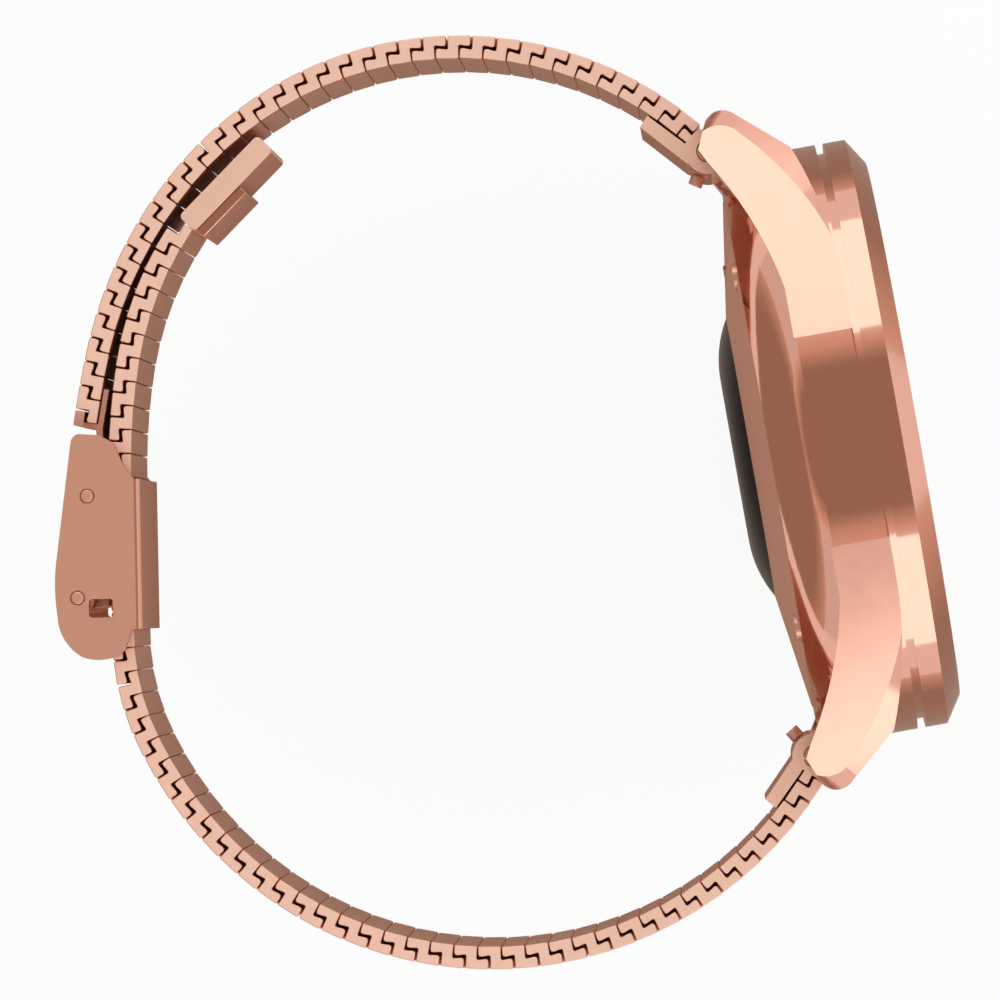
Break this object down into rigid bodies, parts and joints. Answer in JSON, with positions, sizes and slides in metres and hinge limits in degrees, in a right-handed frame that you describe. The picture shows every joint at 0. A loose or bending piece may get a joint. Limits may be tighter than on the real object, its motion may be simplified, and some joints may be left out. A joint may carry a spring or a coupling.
{
  "type": "smartwatch",
  "caption": "Round rose-gold hybrid smartwatch lying on its side, black heart-rate sensor on the back, woven steel mesh band closed by a sliding hook clasp",
  "frame": {"origin": "centre of the sensor window's flat outer face, on the axis of the hands", "axes": "+X is the way the dial faces, +Y is 12 o'clock, +Z is 9 o'clock and points up as the watch lies on its side"},
  "size_m": [0.0613, 0.0656, 0.042],
  "materials": {
    "polished_rose": "mirror-polished rose-gold plated steel",
    "satin_rose": "fine-brushed rose-gold plated steel",
    "mesh_rose": "woven rose-gold plated steel wire",
    "rose_steel": "turned rose-gold plated steel",
    "bare_steel": "plain turned steel",
    "sensor_glass": "black domed optical cover",
    "clear_glass": "clear sapphire",
    "dial_paint": "fine matt dial lacquer",
    "seal": "moulded seal rubber",
    "black_plastic": "moulded black plastic",
    "board_green": "lacquered circuit board",
    "gold_contact": "gold plate"
  },
  "bodies": {
    "case": {"mid_case": "polished_rose", "bezel": "polished_rose", "crystal": "clear_glass", "crystal_gasket": "seal", "case_back": "satin_rose", "case_back_gasket": "seal", "case_back_screws": "rose_steel", "charging_contacts": "gold_contact", "sensor_window": "sensor_glass", "sensor_board": "board_green", "dial": "dial_paint", "chapter_ring": "dial_paint", "hour_markers": "polished_rose", "movement_frame": "black_plastic", "display_module": "black_plastic", "mainboard": "board_green", "battery": "bare_steel", "vibration_motor": "bare_steel", "stepper_motors": "bare_steel"},
    "minute_hand_set": {"minute_hand": "polished_rose", "minute_arbor": "bare_steel"},
    "hour_hand_set": {"hour_hand": "polished_rose", "hour_wheel": "black_plastic"},
    "short_band_1": {"short_mesh_1": "mesh_rose", "upper_end_link": "satin_rose", "upper_spring_bar": "rose_steel"},
    "short_band_2": {"short_mesh_2": "mesh_rose"},
    "short_band_3": {"short_mesh_3": "mesh_rose", "hook_tongue": "satin_rose"},
    "upper_release": {"upper_quick_release": "rose_steel"},
    "lower_release": {"lower_quick_release": "rose_steel"},
    "long_band_1": {"long_mesh_1": "mesh_rose", "lower_end_link": "satin_rose", "lower_spring_bar": "rose_steel"},
    "long_band_2": {"long_mesh_2": "mesh_rose"},
    "long_band_3": {"long_mesh_3": "mesh_rose"},
    "long_band_4": {"long_mesh_4": "mesh_rose", "end_stop": "satin_rose", "end_stop_plate": "polished_rose"},
    "clasp": {"clasp_body": "satin_rose", "hook_pin": "satin_rose", "lid_pin": "satin_rose"},
    "lid": {"clasp_lid": "satin_rose", "lock_cam": "rose_steel"}
  },
  "joints": [
    {"name": "minute_hand_turn", "type": "hinge", "parent": "case", "child": "minute_hand_set", "pos_m": [0.0105, 0, 0], "axis": [-1, 0, 0], "continuous": true},
    {"name": "hour_hand_turn", "type": "hinge", "parent": "case", "child": "hour_hand_set", "pos_m": [0.0105, 0, 0], "axis": [-1, 0, 0], "continuous": true},
    {"name": "short_band_swing", "type": "hinge", "parent": "case", "child": "short_band_1", "pos_m": [0.0019, 0.0215, 0], "axis": [0, 0, -1], "range_deg": [0, 60]},
    {"name": "short_flex_1", "type": "hinge", "parent": "short_band_1", "child": "short_band_2", "pos_m": [-0.01523, 0.03189, 0], "axis": [0, 0, -1], "range_deg": [0, 6.5]},
    {"name": "short_flex_2", "type": "hinge", "parent": "short_band_2", "child": "short_band_3", "pos_m": [-0.03292, 0.02736, 0], "axis": [0, 0, -1], "range_deg": [0, 6.5]},
    {"name": "long_band_swing", "type": "hinge", "parent": "case", "child": "long_band_1", "pos_m": [0.0019, -0.0215, 0], "axis": [0, 0, 1], "range_deg": [0, 49]},
    {"name": "long_flex_1", "type": "hinge", "parent": "long_band_1", "child": "long_band_2", "pos_m": [-0.01664, -0.03179, 0], "axis": [0, 0, 1], "range_deg": [0, 5.3]},
    {"name": "long_flex_2", "type": "hinge", "parent": "long_band_2", "child": "long_band_3", "pos_m": [-0.03548, -0.02541, 0], "axis": [0, 0, 1], "range_deg": [0, 5.3]},
    {"name": "long_flex_3", "type": "hinge", "parent": "long_band_3", "child": "long_band_4", "pos_m": [-0.04448, -0.00772, 0], "axis": [0, 0, 1], "range_deg": [0, 5.3]},
    {"name": "clasp_slide", "type": "slide", "parent": "long_band_4", "child": "clasp", "axis": [0.1554, 0.9879, 0], "range_m": [-0.0015, 0.0015]},
    {"name": "clasp_lid_open", "type": "hinge", "parent": "clasp", "child": "lid", "pos_m": [-0.0469, -0.00161, 0], "axis": [0, 0, 1], "range_deg": [0, 75]},
    {"name": "upper_release_slide", "type": "slide", "parent": "short_band_1", "child": "upper_release", "axis": [0, 0, -1], "range_m": [0, 0.0016], "stiffness_N_per_m": 200},
    {"name": "lower_release_slide", "type": "slide", "parent": "long_band_1", "child": "lower_release", "axis": [0, 0, -1], "range_m": [0, 0.0016], "stiffness_N_per_m": 200}
  ],
  "couplings": [
    {"joint": "hour_hand_turn", "follows": "minute_hand_turn", "ratio": 0.083333},
    {"joint": "short_flex_1", "follows": "short_band_swing", "ratio": 0.1},
    {"joint": "short_flex_2", "follows": "short_band_swing", "ratio": 0.1},
    {"joint": "long_band_swing", "follows": "short_band_swing", "ratio": 0.8},
    {"joint": "long_flex_1", "follows": "short_band_swing", "ratio": 0.08},
    {"joint": "long_flex_2", "follows": "short_band_swing", "ratio": 0.08},
    {"joint": "long_flex_3", "follows": "short_band_swing", "ratio": 0.08}
  ]
}
